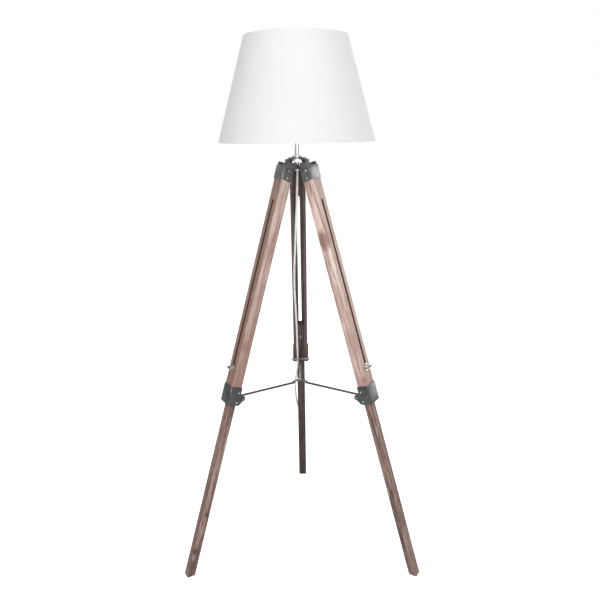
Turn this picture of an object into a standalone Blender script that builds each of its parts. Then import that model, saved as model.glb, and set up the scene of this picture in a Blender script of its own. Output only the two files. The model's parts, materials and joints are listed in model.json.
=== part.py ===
"""Tripod floor lamp: three telescopic wooden legs on a metal head, a chrome stem and a tapered fabric shade.

The lamp stands on z = 0. Everything hangs from the empty "lamp_axis", whose place puts the middle of the
lamp's bounding box on the world origin. Each leg has its own empty on its fold hinge: there, +X points out
of the leg's outer face, +Y runs along the hinge and +Z runs up the leg.
"""

import math

import bmesh
import bpy
from mathutils import Matrix, Vector

# ---------------------------------------------------------------- driving dimensions, metres
GAP = 0.0003                      # clearance between pieces that touch

FOOT_RADIUS = 0.3577              # leg centre line on the floor, from the lamp's axis
LEG_SLOPE = 0.2951                # horizontal run per unit of height
LEG_TILT = math.atan(LEG_SLOPE)
PIVOT_HEIGHT = 1.0850
PIVOT_RADIUS = FOOT_RADIUS - LEG_SLOPE * PIVOT_HEIGHT
LEG_AZIMUTHS = {"a": 210.0, "b": 330.0, "c": 90.0}

UPPER_WIDTH = 0.0431              # along the hinge
UPPER_DEPTH = 0.0300              # across it
UPPER_TOP = 0.0123                # up the leg from the hinge, as every height on a leg
UPPER_BOTTOM = -0.6400
LOWER_WIDTH = 0.0240
LOWER_DEPTH = 0.0212
LOWER_OFFSET = -0.0039            # lower leg's centre line, towards the lamp's axis
LOWER_TOP = -0.5004
EDGE_ROUND = 0.0016
SLOT_WIDTH = 0.0090
SLOT_TOP = -0.0826

LOCK_PLACE = -0.5466              # lock bolt, down the leg
LOCK_SHANK = 0.0030
LOCK_REACH = 0.0300               # end of its thread, out of the leg
WASHER_RADIUS = 0.0100
WASHER_THICKNESS = 0.0012
WING_HUB_HEIGHT = 0.0080
WING_SPAN = 0.0122                # middle of a wing's rounded end, from the bolt
WING_ROUND = 0.0030
WING_THICKNESS = 0.0020

PLATE = 0.0020                    # thickness of the folded brackets
BRACKET_LIP = 0.0010              # how far a cheek passes the leg's inner face
TOP_BRACKET_BOTTOM = -0.0252
TOP_CHEEK = 0.0212                # top of its cheeks
TONGUE_THICKNESS = 0.0050
TONGUE_ROUND = 0.0055
PIVOT_BOLT_RADIUS = 0.0030
PIVOT_BOLT_HEAD = 0.0062
SPREADER_BRACKET_TOP = -0.5925
SPREADER_BRACKET_BOTTOM = -0.6425
EAR_X = -0.0255                   # spreader hinge, inside the leg
EAR_Z = -0.6217
EAR_ROUND = 0.0070
EAR_BOLT_RADIUS = 0.0020
EAR_BOLT_HEAD = 0.0042
ROD_RADIUS = 0.0030
ROD_TIP_RADIUS = 0.0180           # where a rod ends, from the lamp's axis
ROD_TIP_HEIGHT = 0.4840
EYE_RADIUS = 0.0055
EYE_WIDTH = 0.0080
HUB_THICKNESS = 0.0020
HUB_REACH = 0.0210                # middle of a hub arm's rounded end
HUB_ROUND = 0.0035
HUB_WAIST = 0.0080

HEAD_RADIUS = 0.0260
HEAD_BOTTOM = 1.1138
HEAD_TOP = 1.1178
STEM_RADIUS = 0.0065
STEM_BORE = 0.0055
STEM_BOTTOM = 1.0873
STEM_TOP = 1.2193
COLLAR_RADIUS = 0.0155
COLLAR_HEIGHT = 0.0045
NUT_RADIUS = 0.0100
NUT_HEIGHT = 0.0060
BUSH_RADIUS = 0.0085
BUSH_BORE = 0.0056
BUSH_HEIGHT = 0.0040

SHADE_BOTTOM = 1.1600
SHADE_TOP = 1.4300
SHADE_BOTTOM_RADIUS = 0.2083
SHADE_TOP_RADIUS = 0.1362
SHADE_THICKNESS = 0.0010
WIRE_RADIUS = 0.0015
WIRE_INSET = 0.0030               # rim wires, from the shade's edges

SHELL_RADIUS = 0.0195
SHELL_BOTTOM = 1.2266
SHELL_TOP = 1.2763
SHELL_BORE = 0.0165
SHELL_FLOOR = SHELL_BOTTOM + 0.0022
CAP_RADIUS = 0.0130
CAP_HEIGHT = 0.0190
FITTER_BOTTOM = 1.2570
FITTER_TOP = 1.2630
FITTER_RADIUS = 0.0260
RING_NUT_RADIUS = 0.0245
RING_NUT_HEIGHT = 0.0070
BULB_CAP_RADIUS = 0.0133
BULB_CAP_TOP = SHELL_BOTTOM + 0.0447
BULB_RADIUS = 0.0300
BULB_CENTRE = SHELL_BOTTOM + 0.0897
SWITCH_HEIGHT = SHELL_BOTTOM + 0.0167

CORD_RADIUS = 0.0030
CORD_SPACING = 0.0160             # between the rings of its tube
HANK_START = 0.3970               # along y from the lamp's axis
HANK_LENGTH = 0.1120
HANK_HEIGHT = 0.0440
HANK_WIDTH = 0.0190
HANK_LIFT = 0.0018
TURN_PITCH = 0.0062               # between the hank's three turns, side by side
TIE_THICKNESS = 0.0012
TIE_WIDTH = 0.0080
PLUG_THICKNESS = 0.0137
PLUG_HALF = 0.0176
PLUG_LENGTH = 0.0500
RELIEF_LENGTH = 0.0200            # the plug's tapered strain relief
PIN_RADIUS = 0.0020
PIN_PLACE = 0.0088                # each pin, from the plug's middle
PIN_LENGTH = 0.0190

FOOT_REACH = FOOT_RADIUS + (LOWER_OFFSET + LOWER_DEPTH / 2) / math.cos(LEG_TILT)
FRONT_REACH = SHADE_BOTTOM_RADIUS
AXIS_Y = (FRONT_REACH - FOOT_REACH) / 2

SMOOTH_ANGLE = math.radians(35)
ROUND_STEPS = 24


# ---------------------------------------------------------------- scene and collections
def clear_scene():
    for item in list(bpy.data.objects):
        bpy.data.objects.remove(item, do_unlink=True)


def new_collection(name):
    collection = bpy.data.collections.new(name)
    bpy.context.scene.collection.children.link(collection)
    return collection


clear_scene()
PARTS = new_collection("tripod_floor_lamp")
CUTTERS = new_collection("cutters")


def new_material(name, colour, roughness, metallic=0.0, alpha=1.0):
    material = bpy.data.materials.new(name)
    material.use_nodes = True
    shader = material.node_tree.nodes["Principled BSDF"]
    shader.inputs["Base Color"].default_value = (*colour, 1.0)
    shader.inputs["Roughness"].default_value = roughness
    shader.inputs["Metallic"].default_value = metallic
    shader.inputs["Alpha"].default_value = alpha
    return material


WOOD = new_material("washed_wood", (0.47, 0.33, 0.27), 0.6)
NICKEL = new_material("dark_nickel", (0.16, 0.16, 0.16), 0.4, 1.0)
CHROME = new_material("chrome", (0.80, 0.80, 0.82), 0.08, 1.0)
ZINC = new_material("zinc", (0.72, 0.72, 0.72), 0.3, 1.0)
FABRIC = new_material("white_fabric", (0.93, 0.92, 0.93), 0.9)
WIRE = new_material("white_wire", (0.85, 0.85, 0.85), 0.4)
PLASTIC = new_material("white_plastic", (0.86, 0.86, 0.84), 0.35)
GLASS = new_material("frosted_glass", (0.95, 0.95, 0.93), 0.3, 0.0, 0.8)
BRASS = new_material("brass_contact", (0.75, 0.58, 0.28), 0.3, 1.0)
CORD = new_material("clear_flex", (0.85, 0.84, 0.82), 0.35)


# ---------------------------------------------------------------- empties
def new_empty(name, parent=None, location=(0, 0, 0), rotation=(0, 0, 0)):
    empty = bpy.data.objects.new(name, None)
    empty.location = location
    empty.rotation_euler = rotation
    empty.parent = parent
    PARTS.objects.link(empty)
    return empty


# ---------------------------------------------------------------- modelling helpers
def add_mesh(name, mesh, material, parent, location=(0, 0, 0), rotation=(0, 0, 0)):
    item = bpy.data.objects.new(name, mesh)
    item.location = location
    item.rotation_euler = rotation
    item.parent = parent
    mesh.materials.clear()
    mesh.materials.append(material)
    mesh.shade_smooth()
    mesh.set_sharp_from_angle(angle=SMOOTH_ANGLE)
    PARTS.objects.link(item)
    return item


def arc(centre, radius, start, end, steps):
    """Points on a circle, from one angle to another in degrees."""
    points = []
    for i in range(steps + 1):
        angle = math.radians(start + (end - start) * i / steps)
        points.append((centre[0] + radius * math.cos(angle), centre[1] + radius * math.sin(angle)))
    return points


def ring_points(centre, radius, steps=16):
    return arc(centre, radius, 0, 360 - 360 / steps, steps - 1)


def curve_mesh(name, curve):
    """The welded mesh of a curve, which is then removed."""
    holder = bpy.data.objects.new(name, curve)
    bpy.context.scene.collection.objects.link(holder)
    evaluated = holder.evaluated_get(bpy.context.evaluated_depsgraph_get())
    mesh = bpy.data.meshes.new_from_object(evaluated)
    bpy.data.objects.remove(holder)
    form = bmesh.new()
    form.from_mesh(mesh)
    bmesh.ops.remove_doubles(form, verts=form.verts, dist=0.00001)
    bmesh.ops.recalc_face_normals(form, faces=form.faces)
    form.to_mesh(mesh)
    form.free()
    return mesh


def plate_mesh(name, outlines, thickness, turn=None):
    """A flat plate in XY, centred on z = 0; outlines after the first are holes in it."""
    curve = bpy.data.curves.new(name, "CURVE")
    curve.dimensions = "2D"
    curve.fill_mode = "BOTH"
    curve.extrude = thickness / 2
    for outline in outlines:
        spline = curve.splines.new("POLY")
        spline.points.add(len(outline) - 1)
        for point, (x, y) in zip(spline.points, outline):
            point.co = (x, y, 0, 1)
        spline.use_cyclic_u = True
    mesh = curve_mesh(name, curve)
    if turn is not None:
        mesh.transform(turn)
    return mesh


def wire_mesh(name, points, radius, resolution=2):
    curve = bpy.data.curves.new(name, "CURVE")
    curve.dimensions = "3D"
    curve.bevel_depth = radius
    curve.bevel_resolution = resolution
    curve.use_fill_caps = True
    spline = curve.splines.new("POLY")
    spline.points.add(len(points) - 1)
    for point, place in zip(spline.points, points):
        point.co = (*place, 1)
    return curve_mesh(name, curve)


UPRIGHT = Matrix.Rotation(math.radians(90), 4, "X")        # a plate's y becomes z, its normal becomes y


def turned(name, profile, material, parent, location=(0, 0, 0), rotation=(0, 0, 0), closed=False,
           steps=ROUND_STEPS):
    """A turned piece. The profile is (radius, height) from the top down its outer side."""
    mesh = bpy.data.meshes.new(name)
    points = [(radius, 0, height) for radius, height in profile]
    edges = [(i, i + 1) for i in range(len(points) - 1)]
    if closed:
        edges.append((len(points) - 1, 0))
    mesh.from_pydata(points, edges, [])
    item = bpy.data.objects.new(name, mesh)
    screw = item.modifiers.new("turn", "SCREW")
    screw.axis = "Z"
    screw.steps = steps
    screw.render_steps = steps
    screw.use_merge_vertices = True
    screw.merge_threshold = 0.0001
    bpy.context.scene.collection.objects.link(item)
    evaluated = item.evaluated_get(bpy.context.evaluated_depsgraph_get())
    solid = bpy.data.meshes.new_from_object(evaluated)
    bpy.data.objects.remove(item)
    return add_mesh(name, solid, material, parent, location, rotation)


def sleeve(name, outer, inner, bottom, top, material, parent, **place):
    profile = [(outer, top), (outer, bottom), (inner, bottom), (inner, top)]
    return turned(name, profile, material, parent, closed=True, **place)


def add_cutter(name, mesh, parent, location=(0, 0, 0), rotation=(0, 0, 0)):
    cutter = bpy.data.objects.new(name, mesh)
    cutter.location = location
    cutter.rotation_euler = rotation
    cutter.parent = parent
    cutter.hide_render = True
    cutter.display_type = "WIRE"
    CUTTERS.objects.link(cutter)
    return cutter


def use_boolean(item, cutter, operation="DIFFERENCE"):
    modifier = item.modifiers.new(cutter.name, "BOOLEAN")
    modifier.operation = operation
    modifier.object = cutter


def block_mesh(name, low, high):
    form = bmesh.new()
    bmesh.ops.create_cube(form, size=1.0)
    middle = (Vector(low) + Vector(high)) / 2
    span = Vector(high) - Vector(low)
    for vertex in form.verts:
        vertex.co = Vector(c * s for c, s in zip(vertex.co, span)) + middle
    mesh = bpy.data.meshes.new(name)
    form.to_mesh(mesh)
    form.free()
    return mesh


def rod_mesh(name, radius, start, end, segments=16):
    """A cylinder between two points on the x axis."""
    form = bmesh.new()
    bmesh.ops.create_cone(form, cap_ends=True, segments=segments, radius1=radius, radius2=radius,
                          depth=end - start)
    turn = Matrix.Rotation(math.radians(90), 4, "Y")
    bmesh.ops.transform(form, matrix=Matrix.Translation(((start + end) / 2, 0, 0)) @ turn, verts=form.verts)
    mesh = bpy.data.meshes.new(name)
    form.to_mesh(mesh)
    form.free()
    return mesh


ALONG_Y = (math.radians(90), 0, 0)        # turns a piece's z axis onto y
ALONG_X = (0, math.radians(90), 0)        # turns a piece's z axis onto x


# ---------------------------------------------------------------- head, stem and lampholder
def build_head(lamp):
    """A round plate with a tongue down into each leg's hinge."""
    outlines = [ring_points((0, 0), HEAD_RADIUS, 36), ring_points((0, 0), STEM_RADIUS + GAP, 24)]
    disc = plate_mesh("head_disc", outlines, HEAD_TOP - HEAD_BOTTOM)
    head = add_mesh("head_plate", disc, NICKEL, lamp, (0, 0, (HEAD_TOP + HEAD_BOTTOM) / 2))
    tongue = [(TONGUE_ROUND, 0.0300)]
    tongue += arc((0, 0), TONGUE_ROUND, 0, -180, 8)
    tongue += [(-0.0100, 0.0100), (-0.0160, 0.0350)]
    hole = ring_points((0, 0), PIVOT_BOLT_RADIUS + GAP)
    for letter in LEG_AZIMUTHS:
        mesh = plate_mesh("tongue_" + letter, [tongue, hole], TONGUE_THICKNESS, UPRIGHT)
        frame = bpy.data.objects["fold_" + letter]
        use_boolean(head, add_cutter("tongue_" + letter, mesh, frame), "UNION")


def build_stem(lamp):
    """The tube through the head plate, its collar and nut, and the bush at its lower end."""
    bore = STEM_RADIUS + GAP
    sleeve("stem_tube", STEM_RADIUS, STEM_BORE, STEM_BOTTOM, STEM_TOP, CHROME, lamp)
    collar_bottom = HEAD_TOP + GAP
    sleeve("stem_collar", COLLAR_RADIUS, bore, collar_bottom, collar_bottom + COLLAR_HEIGHT, CHROME, lamp)
    nut_middle = HEAD_BOTTOM - GAP - NUT_HEIGHT / 2
    outlines = [ring_points((0, 0), NUT_RADIUS, 6), ring_points((0, 0), bore, 24)]
    mesh = plate_mesh("stem_nut", outlines, NUT_HEIGHT)
    add_mesh("stem_nut", mesh, ZINC, lamp, (0, 0, nut_middle))
    bush_top = STEM_BOTTOM - GAP
    sleeve("cord_bush", BUSH_RADIUS, BUSH_BORE, bush_top - BUSH_HEIGHT, bush_top, PLASTIC, lamp)


def build_lampholder(lamp):
    """A two-part lampholder with a bulb in it; heights are given from the bottom of its shell."""
    base = SHELL_BOTTOM
    cap_bore = STEM_RADIUS + GAP
    cap = [(CAP_RADIUS, base - GAP), (CAP_RADIUS, base - CAP_HEIGHT / 2), (0.0090, base - CAP_HEIGHT)]
    cap += [(cap_bore, base - CAP_HEIGHT), (cap_bore, base - GAP)]
    turned("lampholder_cap", cap, PLASTIC, lamp, closed=True)
    rim = FITTER_BOTTOM - GAP
    rim_radius = SHELL_RADIUS + 0.0030
    shell = [(SHELL_RADIUS, SHELL_TOP), (SHELL_RADIUS, rim), (rim_radius, rim), (rim_radius, rim - 0.0034)]
    shell += [(SHELL_RADIUS, rim - 0.0034), (SHELL_RADIUS, base + 0.0097), (0.0160, base), (0.0070, base)]
    shell += [(0.0070, SHELL_FLOOR), (SHELL_BORE, SHELL_FLOOR), (SHELL_BORE, SHELL_TOP)]
    turned("lampholder_shell", shell, PLASTIC, lamp, closed=True)
    seat = SHELL_FLOOR + GAP
    top = base + 0.0107
    turned("lamp_contact", [(0, top), (0.0150, top), (0.0150, seat), (0, seat)], BRASS, lamp)
    tip = top + GAP
    bulb_cap = [(0, BULB_CAP_TOP), (BULB_CAP_RADIUS, BULB_CAP_TOP), (BULB_CAP_RADIUS, base + 0.0177)]
    bulb_cap += [(0.0050, tip), (0, tip)]
    turned("bulb_cap", bulb_cap, ZINC, lamp)
    neck = BULB_CAP_TOP + GAP
    glass = [(0, BULB_CENTRE + BULB_RADIUS)]
    for degrees in range(15, 136, 15):
        angle = math.radians(degrees)
        glass.append((BULB_RADIUS * math.sin(angle), BULB_CENTRE + BULB_RADIUS * math.cos(angle)))
    glass += [(0.0150, neck + 0.0117), (BULB_CAP_RADIUS, neck), (0, neck)]
    turned("bulb_glass", glass, GLASS, lamp)
    nut_bottom = FITTER_TOP + GAP
    sleeve("shade_ring_nut", RING_NUT_RADIUS, SHELL_RADIUS + GAP, nut_bottom, nut_bottom + RING_NUT_HEIGHT,
           PLASTIC, lamp)


def build_switch(lamp):
    """A turn key on the side of the lampholder, on its own spindle."""
    key = new_empty("switch_axis", lamp, (SHELL_RADIUS + GAP, 0, SWITCH_HEIGHT))
    length = 0.0220
    collar = 0.0100
    spindle = 0.0020
    boss = 0.0030
    knob = [(0, length), (boss, length), (boss, collar), (spindle, collar), (spindle, 0), (0, 0)]
    turned("switch_key", knob, PLASTIC, key, rotation=ALONG_X, steps=12)
    wings = plate_mesh("switch_wings", [ring_points((0.0160, 0), 0.0065, 24)], 0.0022)
    use_boolean(bpy.data.objects["switch_key"], add_cutter("switch_wings", wings, key), "UNION")


# ---------------------------------------------------------------- shade
def build_shade(lamp):
    spin = new_empty("shade_axis", lamp)
    slope = (SHADE_BOTTOM_RADIUS - SHADE_TOP_RADIUS) / (SHADE_TOP - SHADE_BOTTOM)
    wall = [(SHADE_TOP_RADIUS, SHADE_TOP), (SHADE_BOTTOM_RADIUS, SHADE_BOTTOM)]
    wall += [(radius - SHADE_THICKNESS, height) for radius, height in reversed(wall)]
    turned("shade_fabric", wall, FABRIC, spin, closed=True, steps=72)
    rims = {"shade_top_wire": SHADE_TOP - WIRE_INSET, "shade_bottom_wire": SHADE_BOTTOM + WIRE_INSET}
    for name, height in rims.items():
        inside = SHADE_TOP_RADIUS + slope * (SHADE_TOP - height) - SHADE_THICKNESS
        ring = inside - WIRE_RADIUS - 2 * GAP
        profile = arc((ring, height), WIRE_RADIUS, 0, -300, 5)
        turned(name, profile, WIRE, spin, closed=True, steps=72)
    build_fitter(spin, slope)


def build_fitter(spin, slope):
    """The ring that sits on the lampholder, with three wires out to the shade's bottom ring."""
    middle = (FITTER_TOP + FITTER_BOTTOM) / 2
    fitter = sleeve("shade_fitter", FITTER_RADIUS, SHELL_RADIUS + GAP, FITTER_BOTTOM, FITTER_TOP, WIRE, spin)
    end_height = SHADE_BOTTOM + WIRE_INSET
    end_radius = SHADE_BOTTOM_RADIUS - slope * WIRE_INSET - SHADE_THICKNESS - 2 * WIRE_RADIUS - 0.0020
    for i, azimuth in enumerate(LEG_AZIMUTHS.values()):
        points = [(FITTER_RADIUS - 0.0030, 0, middle), (0.0400, 0, middle), (0.0700, 0, middle - 0.0120)]
        points += [(end_radius - 0.0060, 0, end_height + 0.0010), (end_radius, 0, end_height)]
        arm = wire_mesh("fitter_arm", points, WIRE_RADIUS, 1)
        cutter = add_cutter("fitter_arm_%d" % i, arm, spin, rotation=(0, 0, math.radians(azimuth)))
        use_boolean(fitter, cutter, "UNION")


# ---------------------------------------------------------------- legs
def rounded_box_outline(low_x, low_y, high_x, high_y):
    r = EDGE_ROUND
    outline = arc((high_x - r, high_y - r), r, 0, 90, 2)
    outline += arc((low_x + r, high_y - r), r, 90, 180, 2)
    outline += arc((low_x + r, low_y + r), r, 180, 270, 2)
    outline += arc((high_x - r, low_y + r), r, 270, 360, 2)
    return outline


def build_upper_leg(letter, frame):
    """A wooden channel, open towards the lamp's axis, with a long slot in its outer web."""
    half_w = UPPER_WIDTH / 2
    half_d = UPPER_DEPTH / 2
    channel_w = LOWER_WIDTH / 2 + GAP
    channel_x = LOWER_OFFSET + LOWER_DEPTH / 2 + GAP
    r = EDGE_ROUND
    clear = 0.0300
    section = arc((half_d - r, half_w - r), r, 0, 90, 2)
    section += arc((-half_d + r, half_w - r), r, 90, 180, 2)
    section += [(-half_d, channel_w), (channel_x, channel_w), (channel_x, -channel_w), (-half_d, -channel_w)]
    section += arc((-half_d + r, -half_w + r), r, 180, 270, 2)
    section += arc((half_d - r, -half_w + r), r, 270, 360, 2)
    mesh = plate_mesh("upper_leg", [section], UPPER_TOP - UPPER_BOTTOM)
    mesh.transform(Matrix.Translation((0, 0, (UPPER_TOP + UPPER_BOTTOM) / 2)))
    leg = add_mesh("upper_leg_" + letter, mesh, WOOD, frame)
    slot_r = SLOT_WIDTH / 2
    slot_bottom = LOCK_PLACE - slot_r
    slot = arc((0, SLOT_TOP - slot_r), slot_r, 0, 180, 8)
    slot += arc((0, slot_bottom + slot_r), slot_r, 180, 360, 8)
    mesh = plate_mesh("slot", [slot], UPPER_DEPTH, UPRIGHT)
    use_boolean(leg, add_cutter("slot_" + letter, mesh, frame, (half_d, 0, 0), (0, 0, math.radians(90))))
    mesh = rod_mesh("pivot_hole", PIVOT_BOLT_RADIUS + GAP, -clear, clear)
    use_boolean(leg, add_cutter("pivot_hole_" + letter, mesh, frame, rotation=(0, 0, math.radians(90))))


def build_lower_leg(letter, frame):
    """The sliding lower leg, cut off level at the floor, with a hole for the lock bolt."""
    outline = rounded_box_outline(LOWER_OFFSET - LOWER_DEPTH / 2, -LOWER_WIDTH / 2,
                                  LOWER_OFFSET + LOWER_DEPTH / 2, LOWER_WIDTH / 2)
    mesh = plate_mesh("lower_leg", [outline], 1.0)
    for vertex in mesh.vertices:
        if vertex.co.z > 0:
            vertex.co.z = LOWER_TOP
        else:
            vertex.co.z = -(PIVOT_HEIGHT + vertex.co.x * math.sin(LEG_TILT)) / math.cos(LEG_TILT)
    leg = add_mesh("lower_leg_" + letter, mesh, WOOD, frame)
    mesh = rod_mesh("lock_hole", LOCK_SHANK + GAP, -LOCK_REACH, LOCK_REACH)
    use_boolean(leg, add_cutter("lock_hole_" + letter, mesh, frame, (0, 0, LOCK_PLACE)))


def bracket(name, outline, holes, frame):
    """Sheet metal folded round the leg: an outer plate and two cheeks, open towards the lamp's axis."""
    width = UPPER_WIDTH + 2 * (PLATE + GAP)
    mesh = plate_mesh(name, [outline] + holes, width, UPRIGHT)
    item = add_mesh(name, mesh, NICKEL, frame)
    half = UPPER_WIDTH / 2 + GAP
    block = block_mesh(name + "_inside", (-0.0600, -half, -0.7000), (UPPER_DEPTH / 2 + GAP, half, 0.0500))
    use_boolean(item, add_cutter(name + "_inside", block, frame))


def build_brackets(letter, frame):
    """The hinge bracket at the leg's top and the one with the spreader's ears near its lower end."""
    outer = UPPER_DEPTH / 2 + GAP + PLATE
    inner = -UPPER_DEPTH / 2 - BRACKET_LIP
    top = [(outer, UPPER_TOP), (0.0135, UPPER_TOP), (0.0125, TOP_CHEEK), (-0.0100, TOP_CHEEK)]
    top += [(inner, UPPER_TOP), (inner, TOP_BRACKET_BOTTOM - 0.0050), (outer, TOP_BRACKET_BOTTOM)]
    bracket("top_bracket_" + letter, top, [ring_points((0, 0), PIVOT_BOLT_RADIUS + GAP)], frame)
    low = SPREADER_BRACKET_BOTTOM
    high = SPREADER_BRACKET_TOP
    lower = [(outer, high), (inner, high), (inner, EAR_Z + 2 * EAR_ROUND)]
    lower += arc((EAR_X, EAR_Z), EAR_ROUND, 120, 265, 8)
    lower += [(inner, low), (outer, low)]
    bracket("spreader_bracket_" + letter, lower, [ring_points((EAR_X, EAR_Z), EAR_BOLT_RADIUS + GAP)], frame)


def bolt_profile(shank, head, reach, head_height):
    """A bolt along z with a domed head at each end, seated at plus and minus reach."""
    rise = head_height / 2
    top = [(0, reach + head_height), (head * 0.6, reach + head_height), (head, reach + rise), (head, reach)]
    bottom = [(radius, -height) for radius, height in reversed(top)]
    return top + [(shank, reach), (shank, -reach)] + bottom


def build_bolts(letter, frame):
    cheek = UPPER_WIDTH / 2 + GAP + PLATE + GAP
    pivot = bolt_profile(PIVOT_BOLT_RADIUS, PIVOT_BOLT_HEAD, cheek, 0.0036)
    turned("pivot_bolt_" + letter, pivot, ZINC, frame, rotation=ALONG_Y)
    spreader = bolt_profile(EAR_BOLT_RADIUS, EAR_BOLT_HEAD, cheek, 0.0030)
    turned("spreader_bolt_" + letter, spreader, ZINC, frame, (EAR_X, 0, EAR_Z), ALONG_Y, steps=16)


def build_lock(letter, frame):
    """Carriage bolt through the lower leg and the slot, with a washer and a wing nut outside."""
    outer = UPPER_DEPTH / 2 + GAP
    inner = LOWER_OFFSET - LOWER_DEPTH / 2 - GAP
    place = (0, 0, LOCK_PLACE)
    bolt = [(0, LOCK_REACH), (LOCK_SHANK * 0.8, LOCK_REACH), (LOCK_SHANK, LOCK_REACH - 0.0008)]
    bolt += [(LOCK_SHANK, inner), (0.0070, inner), (0.0055, inner - 0.0020), (0, inner - 0.0026)]
    turned("lock_bolt_" + letter, bolt, ZINC, frame, place, ALONG_X)
    bore = LOCK_SHANK + GAP
    washer_top = outer + WASHER_THICKNESS
    sleeve("lock_washer_" + letter, WASHER_RADIUS, bore, outer, washer_top, ZINC, frame,
           location=place, rotation=ALONG_X)
    nut = new_empty("wing_axis_" + letter, frame, place)
    base = washer_top + GAP
    top = base + WING_HUB_HEIGHT
    hub = [(0.0058, top), (0.0068, base), (bore, base), (bore, top)]
    hub_item = turned("wing_nut_" + letter, hub, ZINC, nut, rotation=ALONG_X, closed=True)
    for side in (1, -1):
        wing = [(base + 0.0020, side * 0.0050), (base + 0.0050, side * (WING_SPAN + 0.0005))]
        wing += arc((top + 0.0020, side * WING_SPAN), WING_ROUND, side * 160, side * -60, 8)
        wing += [(top - 0.0005, side * 0.0050)]
        mesh = plate_mesh("wing", [wing], WING_THICKNESS)
        use_boolean(hub_item, add_cutter("wing_%s_%d" % (letter, side + 1), mesh, nut), "UNION")


def build_rod(letter, frame):
    """A spreader rod on its hinge in the bracket's ears, pointing at the lamp's axis."""
    cos_t = math.cos(LEG_TILT)
    sin_t = math.sin(LEG_TILT)
    ear_radius = PIVOT_RADIUS + EAR_X * cos_t - EAR_Z * sin_t
    ear_height = PIVOT_HEIGHT + EAR_X * sin_t + EAR_Z * cos_t
    run = ear_radius - ROD_TIP_RADIUS
    rise = ROD_TIP_HEIGHT - ear_height
    slope = LEG_TILT + math.atan2(rise, run)
    swing = new_empty("swing_" + letter, frame, (EAR_X, 0, EAR_Z), (0, slope, 0))
    eye = plate_mesh("eye", [ring_points((0, 0), EYE_RADIUS, 20), ring_points((0, 0), EAR_BOLT_RADIUS + GAP)],
                     EYE_WIDTH, UPRIGHT)
    rod = add_mesh("spreader_rod_" + letter, eye, NICKEL, swing)
    mesh = rod_mesh("rod", ROD_RADIUS, -math.hypot(run, rise), -0.0040, 16)
    use_boolean(rod, add_cutter("rod_" + letter, mesh, swing), "UNION")


def build_hub(lamp):
    """The three-armed plate that the rods meet under, and its screw."""
    bottom = ROD_TIP_HEIGHT + ROD_RADIUS + 2 * GAP
    top = bottom + HUB_THICKNESS
    outline = []
    for azimuth in sorted(LEG_AZIMUTHS.values()):
        turn = Matrix.Rotation(math.radians(azimuth), 2)
        for point in arc((HUB_REACH, 0), HUB_ROUND, -90, 90, 6):
            outline.append(tuple(turn @ Vector(point)))
        outline.append(tuple(turn @ Vector(arc((0, 0), HUB_WAIST, 60, 60, 1)[0])))
    mesh = plate_mesh("spreader_hub", [outline, ring_points((0, 0), 0.0024)], HUB_THICKNESS)
    add_mesh("spreader_hub", mesh, NICKEL, lamp, (0, 0, (bottom + top) / 2))
    seat = top + GAP
    screw = [(0, seat + 0.0030), (0.0030, seat + 0.0030), (0.0055, seat + 0.0012), (0.0055, seat)]
    screw += [(0.0020, seat), (0.0020, bottom), (0, bottom)]
    turned("hub_screw", screw, ZINC, lamp)


# ---------------------------------------------------------------- cord
# From the bush down inside the tripod: x, y and z of each point from the lamp's axis on the floor.
CORD_FREE = [
    (0.0000, 0.0000, 1.0850), (-0.0002, 0.0002, 1.0700),
    (-0.0008, 0.0009, 1.0500), (-0.0018, 0.0031, 1.0200),
    (-0.0032, 0.0074, 0.9850), (-0.0062, 0.0166, 0.9350),
    (-0.0085, 0.0295, 0.8850), (-0.0132, 0.0598, 0.8000),
    (-0.0140, 0.0913, 0.7250), (-0.0115, 0.1249, 0.6450), (-0.0103, 0.1501, 0.5850),
]
# Through the back leg's lower bracket and round its lower part, in the frame of that leg's hinge.
CORD_ON_LEG = [
    (-0.0225, 0.0098, -0.5810), (-0.0190, 0.0095, -0.6217), (-0.0195, 0.0115, -0.6570),
    (-0.0190, 0.0158, -0.6920), (-0.0120, 0.0188, -0.7300), (0.0000, 0.0192, -0.7700),
    (0.0095, 0.0170, -0.8100), (0.0130, 0.0112, -0.8480), (0.0132, 0.0050, -0.8880),
    (0.0122, 0.0010, -0.9280), (0.0114, -0.0005, -0.9700), (0.0114, -0.0005, -1.0100),
    (0.0114, -0.0005, -1.0450),
]
# Behind the foot to the hank, from the lamp's axis on the floor again.
CORD_AT_FLOOR = [
    (0.0010, 0.3525, 0.0590), (0.0022, 0.3606, 0.0355), (0.0040, 0.3715, 0.0180), (0.0056, 0.3860, 0.0080),
    (TURN_PITCH, HANK_START + 0.0052, 0.0050),
]


def cord_route():
    cos_t = math.cos(LEG_TILT)
    sin_t = math.sin(LEG_TILT)
    on_leg = []
    for out, across, up in CORD_ON_LEG:
        y = PIVOT_RADIUS + out * cos_t - up * sin_t
        z = PIVOT_HEIGHT + out * sin_t + up * cos_t
        on_leg.append((-across, y, z))
    return CORD_FREE + on_leg + CORD_AT_FLOOR


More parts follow.
